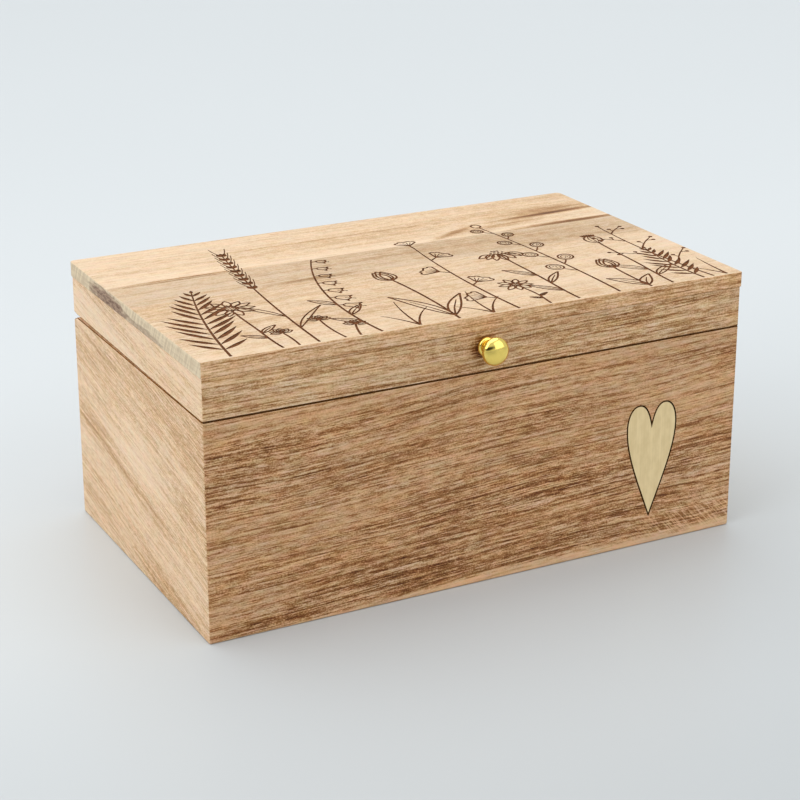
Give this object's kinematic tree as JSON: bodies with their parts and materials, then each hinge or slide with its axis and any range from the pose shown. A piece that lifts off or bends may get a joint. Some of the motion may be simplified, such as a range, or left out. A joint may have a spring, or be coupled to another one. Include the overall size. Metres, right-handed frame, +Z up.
{
  "type": "keepsake box",
  "caption": "Wooden keepsake box with a hinged lid, a mitred body, a heart inlay in the front and a small turned brass knob.",
  "frame": {"origin": "middle of the flat resting face under the base, on the floor; the knob stands out in front of the box and doesn't move it", "axes": "+X to the right along the width, -Y is the front with the knob and the heart, +Z up"},
  "size_m": [0.2528, 0.1619, 0.1192],
  "materials": {
    "acacia_walls": "oiled acacia, mid brown with dark pores",
    "acacia_pale": "oiled acacia, pale sapwood",
    "acacia_top": "oiled acacia, pale, edge-glued staves",
    "panel_wood": "plain sanded wood panel",
    "inlay_veneer": "pale straight-grained veneer with burnt edges",
    "hinge_brass": "satin brass",
    "screw_brass": "satin brass",
    "polished_brass": "polished yellow brass",
    "zinc_screw": "bright zinc-plated steel"
  },
  "bodies": {
    "base": {"front_wall": "acacia_walls", "back_wall": "acacia_walls", "left_wall": "acacia_pale", "right_wall": "acacia_pale", "bottom_panel": "panel_wood", "heart_inlay": "inlay_veneer", "left_hinge_base_leaf": "hinge_brass", "right_hinge_base_leaf": "hinge_brass", "left_hinge_pin": "hinge_brass", "right_hinge_pin": "hinge_brass", "base_hinge_screws": "screw_brass"},
    "lid": {"lid_front_rail": "acacia_walls", "lid_back_rail": "acacia_walls", "lid_left_rail": "acacia_pale", "lid_right_rail": "acacia_pale", "lid_rear_stave": "acacia_top", "lid_middle_stave": "acacia_top", "lid_front_stave": "acacia_top", "left_hinge_lid_leaf": "hinge_brass", "right_hinge_lid_leaf": "hinge_brass", "lid_hinge_screws": "screw_brass", "knob": "polished_brass", "knob_screw": "zinc_screw"}
  },
  "joints": [
    {"name": "lid_hinge", "type": "hinge", "parent": "base", "child": "lid", "pos_m": [0, 0.0726, 0.0952], "axis": [-1, 0, 0], "range_deg": [0, 96]}
  ]
}
